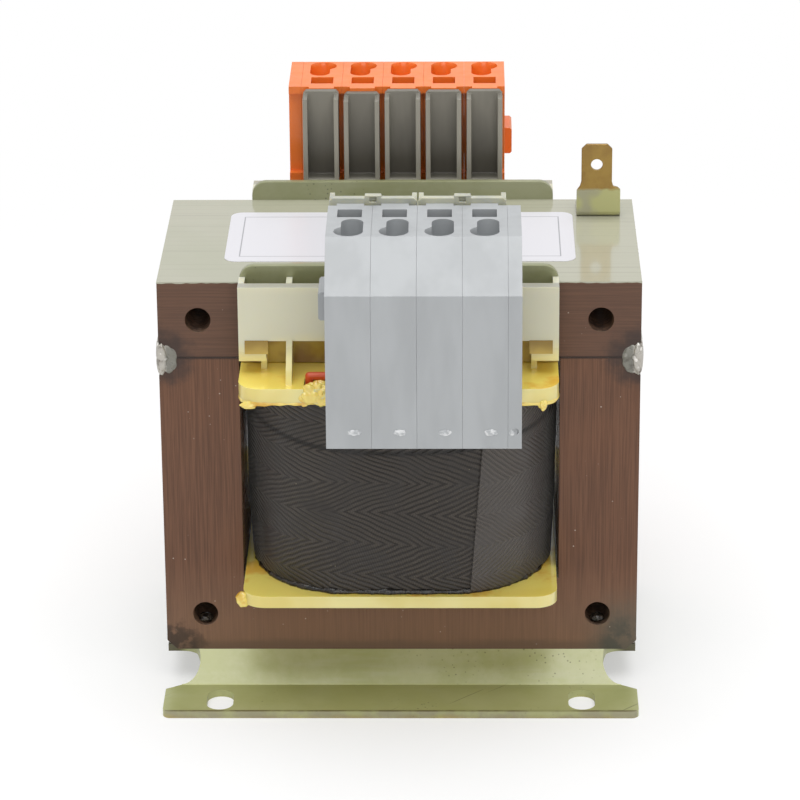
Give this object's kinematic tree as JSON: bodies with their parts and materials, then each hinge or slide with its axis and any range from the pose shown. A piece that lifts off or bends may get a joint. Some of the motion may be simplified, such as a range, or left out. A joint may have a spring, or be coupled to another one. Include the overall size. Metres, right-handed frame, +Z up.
{
  "type": "laminated chassis transformer",
  "caption": "Open EI-core transformer on a folded foot plate, with a taped coil and a spring-clamp terminal block on each side.",
  "frame": {"origin": "on the mounting surface, under the middle of the foot plate", "axes": "+Z up from the mounting surface; -Y towards the front, where the four-pole terminal block sits; +X to the right seen from the front"},
  "size_m": [0.0972, 0.134, 0.1091],
  "materials": {
    "lamination_steel": "blue-brown oxide on stamped electrical steel, under a thin coat of varnish",
    "weld_metal": "rippled weld bead with heat tint",
    "passivated_steel": "yellow-olive zinc passivation under varnish",
    "varnished_steel": "zinc plated sheet under glossy varnish",
    "cream_nylon": "slightly translucent cream nylon, stained yellow by varnish",
    "cream_holder": "slightly translucent cream nylon",
    "enamelled_copper": "enamelled copper wire in layers",
    "insulating_foil": "amber insulating foil",
    "black_tape": "woven herringbone tape soaked in varnish",
    "tab_brass": "bare brass above, varnished below",
    "label_film": "blank white film with rounded corners",
    "grey_plastic": "light grey moulded nylon, fine matt grain",
    "orange_plastic": "orange moulded nylon, fine matt grain",
    "channel_plastic": "warm grey moulded nylon",
    "tinned_copper": "tinned copper strip",
    "spring_steel": "bright spring steel strip",
    "lead_sleeve": "orange-red insulating sleeve"
  },
  "bodies": {
    "root": {"e_stack": "lamination_steel", "bar_stack": "lamination_steel", "seam_welds": "weld_metal", "base_plate": "passivated_steel", "base_welds": "weld_metal", "bobbin": "cream_nylon", "primary_winding": "enamelled_copper", "winding_foil": "insulating_foil", "secondary_winding": "enamelled_copper", "tape_wrap": "black_tape", "front_shield_plate": "varnished_steel", "rear_shield_plate": "varnished_steel", "earth_tab": "tab_brass", "label": "label_film", "front_end_plate": "grey_plastic", "rear_end_plate": "orange_plastic", "front_holder_1": "cream_holder", "front_holder_2": "cream_holder", "front_contact_bars": "tinned_copper", "rear_contact_bars": "tinned_copper", "front_clamp_springs": "spring_steel", "rear_clamp_springs": "spring_steel", "front_leads": "lead_sleeve", "rear_leads": "lead_sleeve", "front_pole_1": "grey_plastic", "front_pole_2": "grey_plastic", "front_pole_3": "grey_plastic", "front_pole_4": "grey_plastic", "rear_pole_1": "orange_plastic", "rear_channel_1": "channel_plastic", "rear_pole_2": "orange_plastic", "rear_channel_2": "channel_plastic", "rear_pole_3": "orange_plastic", "rear_channel_3": "channel_plastic", "rear_pole_4": "orange_plastic", "rear_channel_4": "channel_plastic", "rear_pole_5": "orange_plastic", "rear_channel_5": "channel_plastic"}
  },
  "joints": []
}
